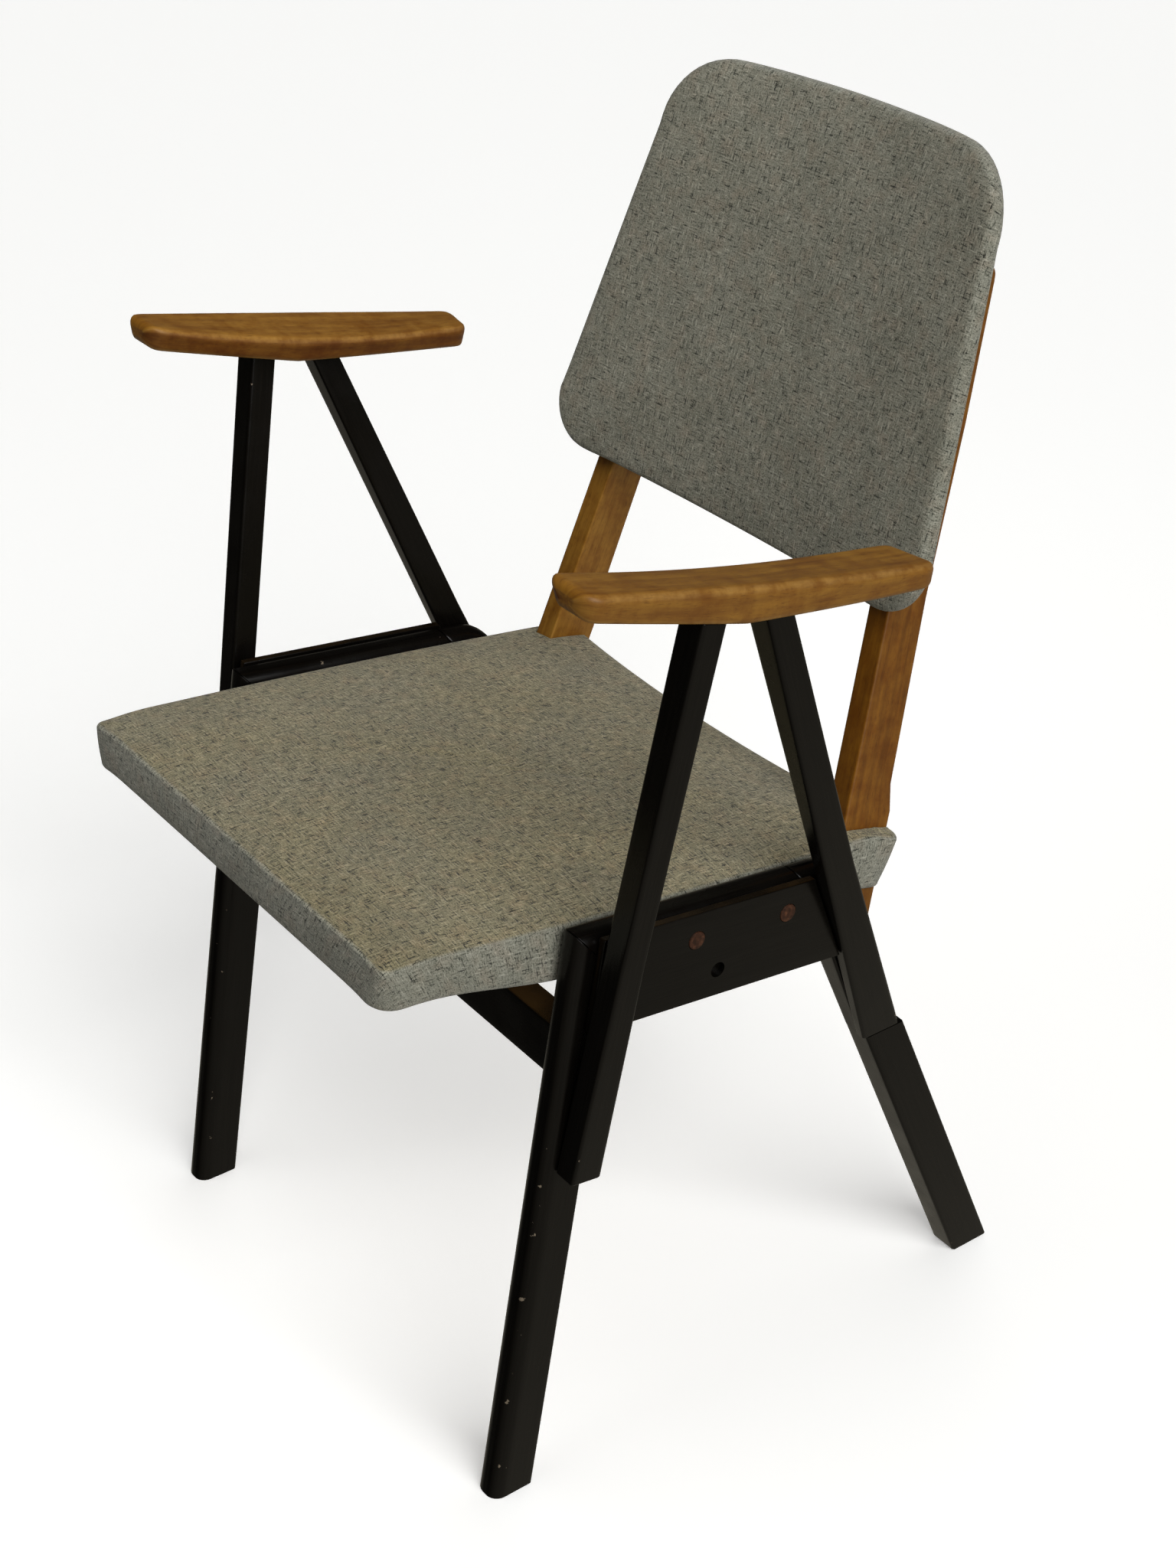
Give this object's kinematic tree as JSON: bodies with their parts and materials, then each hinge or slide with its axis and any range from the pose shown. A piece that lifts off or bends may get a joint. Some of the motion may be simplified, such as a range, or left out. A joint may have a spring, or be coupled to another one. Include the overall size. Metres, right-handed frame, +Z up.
{
  "type": "armchair",
  "caption": "Mid-century armchair with black lacquered trestle sides, beech armrests and back posts, and a thin grey heather seat and back",
  "frame": {"origin": "middle of the box's underside, on the floor", "axes": "+Z up, the sitter faces -Y, +X is the sitter's left"},
  "size_m": [0.5468, 0.52, 0.8393],
  "materials": {
    "black_lacquer": "semi-gloss black lacquer over wood",
    "honey_beech": "satin honey-brown stained beech",
    "heather_fabric": "grey-green heather weave",
    "birch_plywood": "plain birch plywood",
    "brown_bolt_head": "brown painted bolt heads, satin",
    "steel_screw": "plain steel"
  },
  "bodies": {
    "root": {"back_board": "birch_plywood", "back_pad": "heather_fabric", "front_stretcher": "black_lacquer", "left_armrest": "honey_beech", "left_back_post": "honey_beech", "left_back_post_bolt": "steel_screw", "left_back_screw_high": "steel_screw", "left_back_screw_low": "steel_screw", "left_front_arm_dowel": "honey_beech", "left_front_arm_post": "black_lacquer", "left_front_leg": "black_lacquer", "left_front_post_screw": "steel_screw", "left_mitre_dowel": "honey_beech", "left_rail_dowel": "honey_beech", "left_rail_panel": "black_lacquer", "left_rear_arm_dowel": "honey_beech", "left_rear_arm_post": "black_lacquer", "left_rear_leg": "black_lacquer", "left_rear_post_screw": "steel_screw", "left_seat_bolt_front": "brown_bolt_head", "left_seat_bolt_rear": "brown_bolt_head", "left_side_rail": "black_lacquer", "rear_stretcher": "black_lacquer", "right_armrest": "honey_beech", "right_back_post": "honey_beech", "right_back_post_bolt": "steel_screw", "right_back_screw_high": "steel_screw", "right_back_screw_low": "steel_screw", "right_front_arm_dowel": "honey_beech", "right_front_arm_post": "black_lacquer", "right_front_leg": "black_lacquer", "right_front_post_screw": "steel_screw", "right_mitre_dowel": "honey_beech", "right_rail_dowel": "honey_beech", "right_rail_panel": "black_lacquer", "right_rear_arm_dowel": "honey_beech", "right_rear_arm_post": "black_lacquer", "right_rear_leg": "black_lacquer", "right_rear_post_screw": "steel_screw", "right_seat_bolt_front": "brown_bolt_head", "right_seat_bolt_rear": "brown_bolt_head", "right_side_rail": "black_lacquer", "seat_board": "birch_plywood", "seat_pad": "heather_fabric"}
  },
  "joints": []
}
